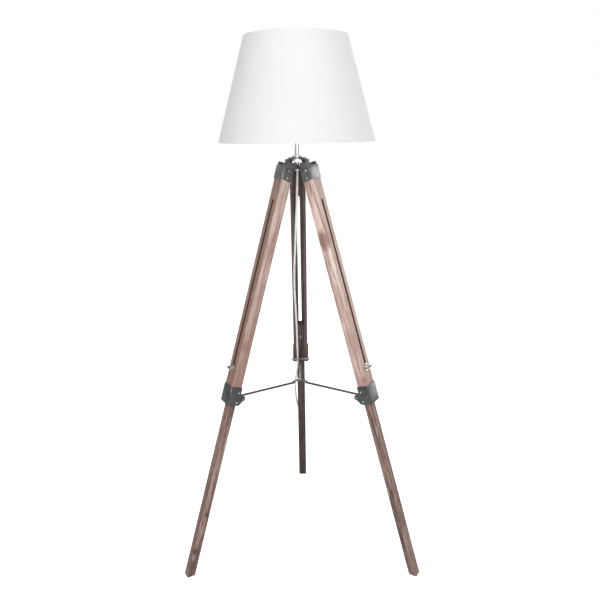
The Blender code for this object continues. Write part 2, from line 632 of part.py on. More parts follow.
def smooth_route(points, spacing):
    """Points at an even spacing along a Catmull-Rom curve through the given ones."""
    places = [Vector(p) for p in points]
    places = [2 * places[0] - places[1]] + places + [2 * places[-1] - places[-2]]
    fine = []
    steps = 24
    for a, b, c, d in zip(places, places[1:], places[2:], places[3:]):
        for i in range(steps):
            t = i / steps
            fine.append(0.5 * (2 * b + (c - a) * t + (2 * a - 5 * b + 4 * c - d) * t * t
                               + (3 * b - a - 3 * c + d) * t * t * t))
    fine.append(places[-2])
    lengths = [0.0]
    for p, q in zip(fine, fine[1:]):
        lengths.append(lengths[-1] + (q - p).length)
    count = round(lengths[-1] / spacing)
    even = []
    index = 0
    for i in range(count + 1):
        goal = lengths[-1] * i / count
        while index < len(fine) - 2 and lengths[index + 1] < goal:
            index += 1
        part = (goal - lengths[index]) / (lengths[index + 1] - lengths[index])
        even.append(fine[index].lerp(fine[index + 1], part))
    return even


def build_cord(lamp):
    """The cord, the hank of spare length that stands behind the back foot, and the tie round it."""
    points = smooth_route(cord_route(), CORD_SPACING)
    add_mesh("cord", wire_mesh("cord", points, CORD_RADIUS), CORD, lamp)
    end_r = HANK_HEIGHT / 2
    low = (HANK_START + end_r, HANK_LIFT + end_r)
    high = (HANK_START + HANK_LENGTH - end_r, HANK_LIFT + end_r)
    outline = arc(low, end_r, 90, 270, 12) + arc(high, end_r, -90, 90, 12)
    mesh = plate_mesh("hank", [outline], HANK_WIDTH, UPRIGHT)
    add_mesh("cord_hank", mesh, CORD, lamp, rotation=(0, 0, math.radians(90)))
    half_w = HANK_WIDTH / 2 + GAP
    low_z = HANK_LIFT - GAP
    high_z = HANK_LIFT + HANK_HEIGHT + GAP
    inner = [(-half_w, low_z), (half_w, low_z), (half_w, high_z), (-half_w, high_z)]
    outer = []
    for x, z in inner:
        outward = 1 if z > low_z else -1
        outer.append((x + math.copysign(TIE_THICKNESS, x), z + outward * TIE_THICKNESS))
    mesh = plate_mesh("tie", [outer, inner], TIE_WIDTH, UPRIGHT)
    add_mesh("cord_tie", mesh, PLASTIC, lamp, (0, HANK_START + HANK_LENGTH / 2, 0))
    build_plug(lamp)


def build_plug(lamp):
    """A flat two-pin mains plug, standing on its narrow side at the hank's far end."""
    place = (-TURN_PITCH, HANK_START + HANK_LENGTH + GAP, HANK_LIFT + PLUG_HALF)
    along_y = (0, 0, math.radians(90))
    shoulder = RELIEF_LENGTH + 0.0100
    body = [(0, -0.0035), (RELIEF_LENGTH, -0.0060), (shoulder, -PLUG_HALF), (PLUG_LENGTH, -PLUG_HALF)]
    body += [(x, -z) for x, z in reversed(body)]
    mesh = plate_mesh("plug", [body], PLUG_THICKNESS, UPRIGHT)
    plug = add_mesh("plug", mesh, PLASTIC, lamp, place, along_y)
    for side in (1, -1):
        pin = rod_mesh("pin", PIN_RADIUS, PLUG_LENGTH - 0.0040, PLUG_LENGTH + PIN_LENGTH, 12)
        pin.transform(Matrix.Translation((0, 0, side * PIN_PLACE)))
        use_boolean(plug, add_cutter("pin_%d" % (side + 1), pin, lamp, place, along_y), "UNION")


# ---------------------------------------------------------------- assembly
def build_lamp():
    lamp = new_empty("lamp_axis", location=(0, AXIS_Y, 0))
    for letter, azimuth in LEG_AZIMUTHS.items():
        angle = math.radians(azimuth)
        place = (PIVOT_RADIUS * math.cos(angle), PIVOT_RADIUS * math.sin(angle), PIVOT_HEIGHT)
        frame = new_empty("fold_" + letter, lamp, place, (0, -LEG_TILT, angle))
        build_upper_leg(letter, frame)
        build_lower_leg(letter, frame)
        build_brackets(letter, frame)
        build_bolts(letter, frame)
        build_lock(letter, frame)
        build_rod(letter, frame)
    build_head(lamp)
    build_stem(lamp)
    build_lampholder(lamp)
    build_switch(lamp)
    build_shade(lamp)
    build_hub(lamp)
    build_cord(lamp)


build_lamp()
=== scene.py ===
"""Looks of the tripod floor lamp: materials, shade cloth, cord, small fasteners, studio and camera.

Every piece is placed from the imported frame. leg_frame() gives the axes that a leg's pieces use: +X out of
the leg's outer face, +Y along its hinge and +Z up the leg, from the hinge.
"""
import json
import math

import bmesh
import bpy
from mathutils import Matrix, Vector


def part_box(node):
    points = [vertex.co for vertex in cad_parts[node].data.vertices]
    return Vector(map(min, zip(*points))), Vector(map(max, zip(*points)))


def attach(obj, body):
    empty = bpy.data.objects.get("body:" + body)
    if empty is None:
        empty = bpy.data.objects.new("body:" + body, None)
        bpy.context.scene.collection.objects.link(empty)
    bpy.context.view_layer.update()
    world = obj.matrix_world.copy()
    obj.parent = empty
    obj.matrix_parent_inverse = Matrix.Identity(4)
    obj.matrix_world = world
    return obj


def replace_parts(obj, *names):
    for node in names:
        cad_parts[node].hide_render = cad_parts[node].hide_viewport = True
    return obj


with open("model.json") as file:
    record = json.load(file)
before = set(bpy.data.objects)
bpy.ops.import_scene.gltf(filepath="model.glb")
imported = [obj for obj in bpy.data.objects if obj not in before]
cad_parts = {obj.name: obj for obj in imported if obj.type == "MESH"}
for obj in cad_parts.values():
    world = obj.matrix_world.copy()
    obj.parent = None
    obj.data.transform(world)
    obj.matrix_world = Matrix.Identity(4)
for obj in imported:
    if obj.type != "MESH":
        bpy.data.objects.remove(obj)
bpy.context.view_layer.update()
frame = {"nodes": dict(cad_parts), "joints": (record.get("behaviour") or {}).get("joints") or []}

NODES = frame["nodes"]
JOINTS = {joint["name"]: joint for joint in frame["joints"]}
LEGS = "abc"


def middle(node):
    low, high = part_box(node)
    return (low + high) / 2


AXIS = Vector((middle("stem_tube").x, middle("stem_tube").y, 0))


def leg_frame(letter):
    """The matrix of a leg's hinge axes."""
    hinge = JOINTS["leg_%s_fold" % letter]
    y_axis = Vector(hinge["axis"]).normalized()
    z_axis = Vector(JOINTS["lower_%s_slide" % letter]["axis"]).normalized()
    x_axis = y_axis.cross(z_axis)
    turn = Matrix((x_axis, y_axis, z_axis)).transposed()
    return Matrix.Translation(Vector(hinge["pos_m"])) @ turn.to_4x4()


# ---------------------------------------------------------------- camera
CAMERA_DISTANCE = 1.7557          # level distance from the lamp's axis
CAMERA_HEIGHT = 1.1979
CAMERA_AZIMUTH = 0.01435
CAMERA_YAW = -0.0118
CAMERA_PITCH = -0.1871
CAMERA_ROLL = -0.0130
CAMERA_LENS = 38.97
CAMERA_SHIFT = -0.0833


def make_camera():
    data = bpy.data.cameras.new("camera")
    data.sensor_width = 36.0
    data.lens = CAMERA_LENS
    data.shift_y = CAMERA_SHIFT
    camera = bpy.data.objects.new("camera", data)
    bpy.context.scene.collection.objects.link(camera)
    cos_p = math.cos(CAMERA_PITCH)
    forward = Vector((math.sin(CAMERA_YAW) * cos_p, math.cos(CAMERA_YAW) * cos_p, math.sin(CAMERA_PITCH)))
    level = Vector((math.cos(CAMERA_YAW), -math.sin(CAMERA_YAW), 0))
    above = level.cross(forward)
    right = math.cos(CAMERA_ROLL) * level + math.sin(CAMERA_ROLL) * above
    up = math.cos(CAMERA_ROLL) * above - math.sin(CAMERA_ROLL) * level
    turn = Matrix((right, up, -forward)).transposed().to_4x4()
    place = AXIS + Vector((CAMERA_DISTANCE * math.sin(CAMERA_AZIMUTH),
                           -CAMERA_DISTANCE * math.cos(CAMERA_AZIMUTH), CAMERA_HEIGHT))
    camera.matrix_world = Matrix.Translation(place) @ turn
    bpy.context.scene.camera = camera


# ---------------------------------------------------------------- material helpers
def new_material(name):
    """A Principled material, with its node tree and its shader."""
    material = bpy.data.materials.new(name)
    material.use_nodes = True
    tree = material.node_tree
    return material, tree, tree.nodes["Principled BSDF"]


def add_node(tree, kind, values=(), **settings):
    """A node with its settings, and (socket, value) pairs for its inputs; a socket value is linked."""
    node = tree.nodes.new(kind)
    for key, value in settings.items():
        setattr(node, key, value)
    for socket, value in values:
        if isinstance(value, bpy.types.NodeSocket):
            tree.links.new(value, node.inputs[socket])
        else:
            node.inputs[socket].default_value = value
    return node


def place_coords(tree, scale=(1, 1, 1), turn=None, source="Object"):
    """Object coordinates, turned into a leg's axes if turn is given, then scaled."""
    vector = add_node(tree, "ShaderNodeTexCoord").outputs[source]
    if turn is not None:
        settled = add_node(tree, "ShaderNodeMapping", [("Vector", vector), ("Location", turn.translation),
                                                       ("Rotation", turn.to_euler())], vector_type="TEXTURE")
        vector = settled.outputs["Vector"]
    scaled = add_node(tree, "ShaderNodeMapping", [("Vector", vector), ("Scale", scale)])
    return scaled.outputs["Vector"]


def noise(tree, vector, scale, detail=4.0, roughness=0.55, distortion=0.0):
    node = add_node(tree, "ShaderNodeTexNoise", [("Vector", vector), ("Scale", scale), ("Detail", detail),
                                                 ("Roughness", roughness), ("Distortion", distortion)])
    return node.outputs["Fac"]


def ramp(tree, value, stops):
    """A colour ramp; stops are (place, colour)."""
    node = add_node(tree, "ShaderNodeValToRGB", [("Fac", value)])
    elements = node.color_ramp.elements
    while len(elements) < len(stops):
        elements.new(0.5)
    for element, (place, colour) in zip(elements, stops):
        element.position = place
        element.color = (*colour, 1.0)
    return node.outputs["Color"]


def grey(value):
    return (value, value, value)


def mix(tree, share, first, second):
    node = add_node(tree, "ShaderNodeMix", data_type="RGBA")
    for socket, value in ((0, share), (6, first), (7, second)):
        if isinstance(value, bpy.types.NodeSocket):
            tree.links.new(value, node.inputs[socket])
        elif socket == 0:
            node.inputs[socket].default_value = value
        else:
            node.inputs[socket].default_value = (*value, 1.0)
    return node.outputs[2]


def spread(tree, value, low, high):
    """A 0 to 1 value mapped onto low to high."""
    node = add_node(tree, "ShaderNodeMapRange", [("Value", value), ("To Min", low), ("To Max", high)])
    return node.outputs["Result"]


def arithmetic(tree, operation, first, second):
    node = add_node(tree, "ShaderNodeMath", [(0, first), (1, second)], operation=operation)
    return node.outputs["Value"]


def bump(tree, height, distance, strength=1.0):
    node = add_node(tree, "ShaderNodeBump", [("Height", height), ("Distance", distance),
                                             ("Strength", strength)])
    return node.outputs["Normal"]


# ---------------------------------------------------------------- materials
# The woods' tones: dark grain, middle, pale grain and a broad stain, the last also used for the darkening
# towards the foot and the painted shade on the outer face.
UPPER_TONES = [(0.15, 0.075, 0.058), (0.47, 0.335, 0.295), (0.72, 0.595, 0.550), (0.25, 0.145, 0.115)]
LOWER_TONES = [(0.055, 0.028, 0.022), (0.19, 0.110, 0.090), (0.41, 0.270, 0.228), (0.12, 0.074, 0.060)]
# Per leg: tone brightness as painted light and shade (c darkened, a and b brightened), darkening towards the
# foot, and painted shade on the outer face.
LEG_PAINTED_LIGHT = {"a": 1.12, "b": 1.42, "c": 0.30}
LEG_FOOT_DARKENING = {"a": 0.90, "b": 0.55, "c": 0.20}
LEG_OUTER_SHADE = {"a": 0.90, "b": 0.30, "c": 0.0}
SLOT_HALF = 0.0045
SLOT_ENDS = (-0.5511, -0.0826)    # bottom and top, down the leg
SLOT_MARGIN = 0.0008
FOOT_DARKENING_REACH = (-0.15, -0.60)      # where the darkening towards the foot starts, and where it is full
OUTER_SHADE_EDGE = (0.0126, 0.0148)     # the same for the painted shade on the outer face
# Knots and dark patches: (centre, reach, strength) in the leg's axes.
MARKS = {
    "upper_a": [((0.006, 0.0215, -0.480), (0.010, 0.012, 0.020), 0.6)],
    "upper_b": [((0.000, -0.0215, -0.190), (0.022, 0.020, 0.034), 0.8)],
    "upper_c": [((0.000, 0.0215, -0.300), (0.012, 0.012, 0.024), 0.6)],
    "lower_a": [((-0.006, 0.012, -0.954), (0.006, 0.010, 0.010), 0.9),
                ((0.002, 0.012, -1.060), (0.007, 0.010, 0.012), 0.9)],
    "lower_b": [((0.000, -0.012, -0.900), (0.006, 0.010, 0.016), 0.7)],
    "lower_c": [((0.000, 0.012, -0.850), (0.006, 0.010, 0.012), 0.7)],
}
PALE_WASH = (0.66, 0.55, 0.50)


def toned(tones, strength):
    """The tones made brighter or darker, and never brighter than real wood."""
    return [tuple(min(0.9, strength * part) for part in tone) for tone in tones]


def mark(tree, along, centre, reach, strength):
    """How much of a dark mark there is, in a leg's axes: all of it at its centre and none past its reach."""
    scale = [1 / part for part in reach]
    moved = add_node(tree, "ShaderNodeMapping", [("Vector", along), ("Scale", scale),
                                                 ("Location", [-c * k for c, k in zip(centre, scale)])])
    away = add_node(tree, "ShaderNodeVectorMath", [(0, moved.outputs["Vector"])], operation="LENGTH")
    ragged = spread(tree, noise(tree, along, 130.0, 3.0), -0.35, 0.35)
    away = arithmetic(tree, "ADD", away.outputs["Value"], ragged)
    return ramp(tree, away, [(0.45, grey(strength)), (1.0, grey(0))])


def smooth_step(tree, value, low, high, amount):
    """Zero at low, rising to amount at high."""
    step = add_node(tree, "ShaderNodeMapRange", [("Value", value), ("From Min", low), ("From Max", high),
                                                 ("To Min", 0.0), ("To Max", amount)])
    return step.outputs["Result"]


def painted_slot_shade(tree, parts):
    """One inside the slot and on its edge, where painted shade goes over wood the wash doesn't reach, zero
    on the rest of the leg.
    """
    across = arithmetic(tree, "ABSOLUTE", parts["Y"], 0.0)
    across = arithmetic(tree, "LESS_THAN", across, SLOT_HALF + 0.0001)
    below = arithmetic(tree, "LESS_THAN", parts["Z"], SLOT_ENDS[1] + SLOT_MARGIN)
    above = arithmetic(tree, "GREATER_THAN", parts["Z"], SLOT_ENDS[0] - SLOT_MARGIN)
    return arithmetic(tree, "MULTIPLY", across, arithmetic(tree, "MULTIPLY", below, above))


def wood_material(name, turn, seed, tones, wear, marks, foot_darkening, outer, slotted):
    """Limewashed softwood, grain along the leg; tones run from the dark grain to the pale wash.

    It can be made darker towards the foot, and outer paints shade on the face turned away from the lamp.
    """
    material, tree, shader = new_material(name)
    along = place_coords(tree, (1, 1, 1), turn)
    moved = add_node(tree, "ShaderNodeMapping", [("Vector", along), ("Location", (seed, 2 * seed, 3 * seed)),
                                                 ("Scale", (1, 1, 0.055))]).outputs["Vector"]
    wander = noise(tree, moved, 22.0, 3.0)
    rings = add_node(tree, "ShaderNodeTexWave", [("Vector", moved), ("Scale", 42.0), ("Distortion", 9.0),
                                                 ("Detail", 3.0), ("Detail Scale", 1.6)],
                     bands_direction="Y").outputs["Fac"]
    fibres = noise(tree, moved, 900.0, 3.0, 0.6)
    streaks = noise(tree, moved, 150.0, 5.0, 0.65, 0.4)
    figure = mix(tree, 0.55, ramp(tree, rings, [(0.0, grey(0)), (0.85, grey(1))]),
                 ramp(tree, streaks, [(0.32, grey(0)), (0.68, grey(1))]))
    figure = mix(tree, 0.35, figure, ramp(tree, fibres, [(0.3, grey(0)), (0.7, grey(1))]))
    colour = ramp(tree, figure, [(0.16, tones[0]), (0.46, tones[1]), (0.80, tones[2])])
    broad = noise(tree, along, 9.0, 3.0, 0.5)
    colour = mix(tree, ramp(tree, broad, [(0.38, grey(0.0)), (0.72, grey(0.55))]), colour, tones[3])
    knots = add_node(tree, "ShaderNodeTexVoronoi", [("Vector", along), ("Scale", 6.5)]).outputs["Distance"]
    knot = ramp(tree, knots, [(0.045, grey(0.75)), (0.10, grey(0.0))])
    colour = mix(tree, knot, colour, tones[0])
    for centre, reach, strength in marks:
        colour = mix(tree, mark(tree, along, centre, reach, strength), colour, tones[0])
    parts = add_node(tree, "ShaderNodeSeparateXYZ", [("Vector", along)]).outputs
    # Darker towards the foot.
    colour = mix(tree, smooth_step(tree, parts["Z"], *FOOT_DARKENING_REACH, foot_darkening), colour, tones[3])
    # Painted shade on the outer face, the face turned away from the lamp's axis.
    colour = mix(tree, smooth_step(tree, parts["X"], *OUTER_SHADE_EDGE, outer), colour, tones[3])
    pits = ramp(tree, noise(tree, moved, 420.0, 2.0), [(0.60, grey(0)), (0.72, grey(0.55))])
    colour = mix(tree, pits, colour, wear)
    # Painted shade inside the slot: its walls and edge get a much darker tone, over wood the wash doesn't
    # reach.
    if slotted:
        colour = mix(tree, painted_slot_shade(tree, parts), colour, toned([tones[0]], 0.45)[0])
    tree.links.new(colour, shader.inputs["Base Color"])
    tree.links.new(spread(tree, wander, 0.50, 0.72), shader.inputs["Roughness"])
    height = arithmetic(tree, "ADD", fibres, arithmetic(tree, "MULTIPLY", streaks, 1.6))
    tree.links.new(bump(tree, height, 0.0004, 0.5), shader.inputs["Normal"])
    return material


def metal_material(name, dark, light, rough, metallic=1.0):
    """Metal with cloudy tone, drawn marks and small dents; rough is (lowest, highest)."""
    material, tree, shader = new_material(name)
    shader.inputs["Metallic"].default_value = metallic
    plain = place_coords(tree)
    drawn = place_coords(tree, (60, 60, 60))
    cloud = noise(tree, plain, 38.0, 4.0, 0.6)
    marks = noise(tree, drawn, 12.0, 4.0, 0.65)
    grime = ramp(tree, noise(tree, plain, 240.0, 3.0), [(0.40, grey(0.0)), (0.75, grey(0.6))])
    colour = mix(tree, ramp(tree, cloud, [(0.3, grey(0)), (0.7, grey(1))]), dark, light)
    colour = mix(tree, grime, colour, dark)
    tree.links.new(colour, shader.inputs["Base Color"])
    tree.links.new(spread(tree, marks, *rough), shader.inputs["Roughness"])
    tree.links.new(bump(tree, arithmetic(tree, "ADD", marks, cloud), 0.00006, 0.5), shader.inputs["Normal"])
    return material


def plastic_material(name, dark, light, rough, coat=0.0):
    """Moulded plastic with a faint orange-peel and handling marks."""
    material, tree, shader = new_material(name)
    shader.inputs["Coat Weight"].default_value = coat
    place = place_coords(tree)
    cloud = noise(tree, place, 30.0, 3.0)
    peel = noise(tree, place, 900.0, 2.0)
    tree.links.new(mix(tree, ramp(tree, cloud, [(0.3, grey(0)), (0.7, grey(1))]), dark, light),
                   shader.inputs["Base Color"])
    tree.links.new(spread(tree, noise(tree, place, 160.0, 3.0), *rough), shader.inputs["Roughness"])
    tree.links.new(bump(tree, peel, 0.00004, 0.4), shader.inputs["Normal"])
    return material


def cloth_material(name, dark, light, thread=0.00060):
    """Plain woven cotton: crossing threads with slubs, from the cloth's UV in metres.

    A wave texture repeats every 0.314 / scale, so scale is 0.314 over the spacing of the threads.
    """
    material, tree, shader = new_material(name)
    shader.inputs["Sheen Weight"].default_value = 0.5
    shader.inputs["Sheen Roughness"].default_value = 0.5
    bands = 0.314 / thread
    across = place_coords(tree, (1, 1, 1), source="UV")
    stripes = []
    for direction, stretch in (("X", (1, 0.05, 1)), ("Y", (0.05, 1, 1))):
        wave = add_node(tree, "ShaderNodeTexWave", [("Vector", across), ("Scale", bands),
                                                    ("Distortion", 1.2), ("Detail", 1.0),
                                                    ("Detail Scale", 1.5)],
                        bands_direction=direction).outputs["Fac"]
        slub = noise(tree, place_coords(tree, stretch, source="UV"), 0.15 / thread, 3.0, 0.6)
        stripes.append(arithmetic(tree, "MULTIPLY", wave, spread(tree, slub, 0.35, 1.25)))
    weave = arithmetic(tree, "MAXIMUM", *stripes)
    cloud = noise(tree, across, 7.0, 3.0, 0.5)
    colour = mix(tree, ramp(tree, weave, [(0.10, grey(0)), (0.75, grey(1))]), dark, light)
    colour = mix(tree, ramp(tree, cloud, [(0.40, grey(0.0)), (0.75, grey(0.30))]), colour, dark)
    tree.links.new(colour, shader.inputs["Base Color"])
    tree.links.new(spread(tree, weave, 0.95, 0.80), shader.inputs["Roughness"])
    tree.links.new(bump(tree, weave, 0.00022, 0.45), shader.inputs["Normal"])
    return material


def glass_material():
    """Frosted bulb glass, a white inner coat seen through a thin clear layer."""
    material, tree, shader = new_material("frosted_glass")
    shader.inputs["Coat Weight"].default_value = 0.4
    shader.inputs["Transmission Weight"].default_value = 0.25
    frost = noise(tree, place_coords(tree), 260.0, 3.0)
    tree.links.new(ramp(tree, frost, [(0.3, (0.86, 0.86, 0.84)), (0.7, (0.95, 0.95, 0.93))]),
                   shader.inputs["Base Color"])
    tree.links.new(spread(tree, frost, 0.25, 0.42), shader.inputs["Roughness"])
    return material


def flex_material():
    """Milky PVC flex: two cores show as a faint twisted darker band under a clear skin."""
    material, tree, shader = new_material("clear_flex")
    shader.inputs["Coat Weight"].default_value = 0.5
    shader.inputs["Coat Roughness"].default_value = 0.12
    place = place_coords(tree)
    cores = add_node(tree, "ShaderNodeTexWave", [("Vector", place), ("Scale", 26.0), ("Distortion", 1.5)],
                     bands_direction="DIAGONAL").outputs["Fac"]
    cloud = noise(tree, place, 60.0, 3.0)
    colour = ramp(tree, cores, [(0.15, (0.80, 0.79, 0.77)), (0.6, (0.90, 0.89, 0.88))])
    milky = ramp(tree, cloud, [(0.35, grey(0.0)), (0.75, grey(0.35))])
    colour = mix(tree, milky, colour, (0.93, 0.92, 0.90))
    tree.links.new(colour, shader.inputs["Base Color"])
    tree.links.new(spread(tree, cloud, 0.25, 0.42), shader.inputs["Roughness"])
    return material


def studio_material(name, dark, light, glow):
    """Matt studio floor that the camera sees as bright as the backdrop."""
    material, tree, shader = new_material(name)
    shader.inputs["Roughness"].default_value = 0.9
    shader.inputs["Emission Color"].default_value = (1, 1, 1, 1)
    seen = add_node(tree, "ShaderNodeLightPath").outputs["Is Camera Ray"]
    tree.links.new(arithmetic(tree, "MULTIPLY", seen, glow), shader.inputs["Emission Strength"])
    cloud = noise(tree, place_coords(tree), 0.6, 3.0)
    tree.links.new(ramp(tree, cloud, [(0.3, dark), (0.7, light)]), shader.inputs["Base Color"])
    return material


def paint(item, material):
    item.data.materials.clear()
    item.data.materials.append(material)


# ---------------------------------------------------------------- mesh helpers
def add_piece(name, mesh, material, body, smooth_angle=35):
    """A new piece on a CAD body, with its material."""
    item = bpy.data.objects.new(name, mesh)
    bpy.context.scene.collection.objects.link(item)
    paint(item, material)
    mesh.shade_smooth()
    mesh.set_sharp_from_angle(angle=math.radians(smooth_angle))
    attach(item, body)
    return item


def lathe_mesh(name, profile, steps, place, closed=False, wave=None):
    """A mesh turned about place's z axis from (radius, height) points, with a UV in metres."""
    form = bmesh.new()
    uv = form.loops.layers.uv.new("metres")
    rings = []
    for radius, height in profile:
        ring = []
        for step in range(steps):
            angle = 2 * math.pi * step / steps
            reach = radius + (wave(angle, height) if wave else 0.0)
            point = Vector((reach * math.cos(angle), reach * math.sin(angle), height))
            ring.append(form.verts.new(place @ point))
        rings.append(ring)
    pairs = list(zip(range(len(rings)), range(1, len(rings))))
    if closed:
        pairs.append((len(rings) - 1, 0))
    girth = 2 * math.pi * max(radius for radius, _ in profile)
    run = [0.0]
    for (r0, h0), (r1, h1) in zip(profile, profile[1:]):
        run.append(run[-1] + math.hypot(r1 - r0, h1 - h0))
    for a, b in pairs:
        for step in range(steps):
            after = (step + 1) % steps
            face = form.faces.new((rings[a][step], rings[a][after], rings[b][after], rings[b][step]))
            shares = (step, step + 1, step + 1, step)
            rows = (a, a, b, b)
            for loop, share, row in zip(face.loops, shares, rows):
                loop[uv].uv = (girth * share / steps, run[row])
    if not closed:
        for ring, radius in ((rings[0], profile[0][0]), (rings[-1], profile[-1][0])):
            if radius < 0.0002:
                bmesh.ops.contextual_create(form, geom=ring)
    bmesh.ops.recalc_face_normals(form, faces=form.faces)
    mesh = bpy.data.meshes.new(name)
    form.to_mesh(mesh)
    form.free()
    return mesh


def soften(node, width, bends=None, bend_radius=0.0):
    """A copy of a CAD node's mesh with its sharp edges rounded; bends picks the edges of a larger round."""
    form = bmesh.new()
    form.from_mesh(NODES[node].data)
    bmesh.ops.remove_doubles(form, verts=form.verts, dist=0.00001)
    bmesh.ops.dissolve_limit(form, angle_limit=math.radians(1), verts=form.verts, edges=form.edges)
    if bends is not None:
        folds = [edge for edge in form.edges if bends(edge)]
        bmesh.ops.bevel(form, geom=folds, offset=bend_radius, segments=5, profile=0.5, affect="EDGES",
                        clamp_overlap=True)
    sharp = [edge for edge in form.edges if edge.is_manifold and edge.calc_face_angle(0) > math.radians(40)]
    bmesh.ops.bevel(form, geom=sharp, offset=width, segments=2, profile=0.5, affect="EDGES",
                    clamp_overlap=True)
    mesh = bpy.data.meshes.new(node + "_rounded")
    form.to_mesh(mesh)
    form.free()
    return mesh


def smooth_route(points, spacing):
    """Points at an even spacing along a Catmull-Rom curve through the given ones."""
    places = [Vector(point) for point in points]
    places = [2 * places[0] - places[1]] + places + [2 * places[-1] - places[-2]]
    fine = []
    steps = 24
    for a, b, c, d in zip(places, places[1:], places[2:], places[3:]):
        for i in range(steps):
            t = i / steps
            fine.append(0.5 * (2 * b + (c - a) * t + (2 * a - 5 * b + 4 * c - d) * t * t
                               + (3 * b - a - 3 * c + d) * t * t * t))
    fine.append(places[-2])
    even = [fine[0]]
    travelled = 0.0
    for before, after in zip(fine, fine[1:]):
        travelled += (after - before).length
        if travelled >= spacing:
            even.append(after)
            travelled = 0.0
    if travelled > spacing / 3:
        even.append(fine[-1])
    else:
        even[-1] = fine[-1]
    return even


def slab_mesh(name, outline, thickness, place, rounding):
    """A flat plate in place's XY plane, centred on it, with rounded edges."""
    form = bmesh.new()
    face = form.faces.new([form.verts.new((x, y, -thickness / 2)) for x, y in outline])
    raised = bmesh.ops.extrude_face_region(form, geom=[face])
    lifted = [item for item in raised["geom"] if isinstance(item, bmesh.types.BMVert)]
    bmesh.ops.translate(form, verts=lifted, vec=(0, 0, thickness))
    bmesh.ops.recalc_face_normals(form, faces=form.faces)
    bmesh.ops.bevel(form, geom=list(form.edges), offset=rounding, segments=3, profile=0.5, affect="EDGES",
                    clamp_overlap=True)
    bmesh.ops.transform(form, matrix=place, verts=form.verts)
    mesh = bpy.data.meshes.new(name)
    form.to_mesh(mesh)
    form.free()
    return mesh


# ---------------------------------------------------------------- cord
CORD_DIAMETER = 0.0060
ROUTE_SPACING = 0.0040            # between the rings of the drawn flex
TURN_PITCH = 0.0062               # between the hank's turns, side by side
RUN_STEPS = 9                     # along one of the hank's straight runs
RISE_START = 0.0300               # from the near fold to where the last run rises to the plug
RELIEF_GAP = 0.0003               # between the flex's end and the plug's strain relief
# From the bush down inside the tripod, from the lamp's axis on the floor.
CORD_FREE = [
    (0.0000, 0.0000, 1.0850), (-0.0002, 0.0002, 1.0700),
    (-0.0008, 0.0009, 1.0500), (-0.0018, 0.0031, 1.0200),
    (-0.0032, 0.0074, 0.9850), (-0.0062, 0.0166, 0.9350),
    (-0.0085, 0.0295, 0.8850), (-0.0132, 0.0598, 0.8000),
    (-0.0140, 0.0913, 0.7250), (-0.0115, 0.1249, 0.6450), (-0.0103, 0.1501, 0.5850),
]
# Through the back leg's lower bracket and round its lower part, in that leg's axes.
CORD_ON_LEG = [
    (-0.0225, 0.0098, -0.5810), (-0.0190, 0.0095, -0.6217), (-0.0195, 0.0115, -0.6570),
    (-0.0190, 0.0158, -0.6920), (-0.0120, 0.0188, -0.7300), (0.0000, 0.0192, -0.7700),
    (0.0095, 0.0170, -0.8100), (0.0130, 0.0112, -0.8480), (0.0132, 0.0050, -0.8880),
    (0.0122, 0.0010, -0.9280), (0.0114, -0.0005, -0.9700), (0.0114, -0.0005, -1.0100),
    (0.0114, -0.0005, -1.0450),
]
# Behind the foot to the hank, from the lamp's axis on the floor again.
CORD_AT_FLOOR = [
    (0.0010, 0.3525, 0.0590), (0.0022, 0.3606, 0.0355), (0.0040, 0.3715, 0.0180),
    (0.0056, 0.3860, 0.0080), (0.0062, 0.4022, 0.0050),
]


def half_turn(centre_y, centre_z, bend, start, count=8):
    """Points (y, z) round one end of the hank, from the given angle in degrees, anticlockwise."""
    points = []
    for step in range(count + 1):
        angle = math.radians(start + 180 * step / count)
        points.append((centre_y + bend * math.cos(angle), centre_z + bend * math.sin(angle)))
    return points


def hank_route():
    """The hank's turns: out along the floor, back along the top, one pitch further over each time."""
    low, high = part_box("cord_hank")
    radius = CORD_DIAMETER / 2
    bend = (high.z - low.z) / 2 - radius
    near = low.y + radius + bend
    far = high.y - radius - bend
    floor = low.z + radius
    shares = [step / RUN_STEPS for step in range(1, RUN_STEPS)]
    route = []
    for x in (TURN_PITCH, 0.0):
        route += [(x, near + (far - near) * share, floor) for share in shares]
        route += [(x, y, z) for y, z in half_turn(far, floor + bend, bend, -90)]
        for share in shares:
            over = share * share * (3 - 2 * share)
            route.append((x - TURN_PITCH * over, far + (near - far) * share, floor + 2 * bend))
        route += [(x - TURN_PITCH, y, z) for y, z in half_turn(near, floor + bend, bend, 90)]
    plug = middle("plug")
    rise_start = near + RISE_START
    rise = plug.z - floor
    for share in (-0.6, -0.3, 0.0, 0.15, 0.3, 0.45, 0.6, 0.75, 0.9, 1.0):
        over = max(share, 0) ** 2 * (3 - 2 * max(share, 0))
        y = rise_start + (high.y - RELIEF_GAP - rise_start) * share
        route.append((-TURN_PITCH, y, floor + rise * over))
    return route


def make_cord(material, plug):
    turn = leg_frame("c")
    points = [AXIS + Vector(point) for point in CORD_FREE]
    points += [turn @ Vector(point) for point in CORD_ON_LEG]
    points += [AXIS + Vector(point) for point in CORD_AT_FLOOR]
    points += [Vector(point) for point in hank_route()]
    places = smooth_route(points, ROUTE_SPACING)
    curve = bpy.data.curves.new("flex", "CURVE")
    curve.dimensions = "3D"
    curve.bevel_depth = CORD_DIAMETER / 2
    curve.bevel_resolution = 4
    curve.use_fill_caps = True
    spline = curve.splines.new("POLY")
    spline.points.add(len(places) - 1)
    for point, place in zip(spline.points, places):
        point.co = (*place, 1)
    spline.use_smooth = True
    flex = bpy.data.objects.new("flex", curve)
    bpy.context.scene.collection.objects.link(flex)
    curve.materials.append(material)
    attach(flex, "leg_c")
    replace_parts(flex, "cord", "cord_hank")


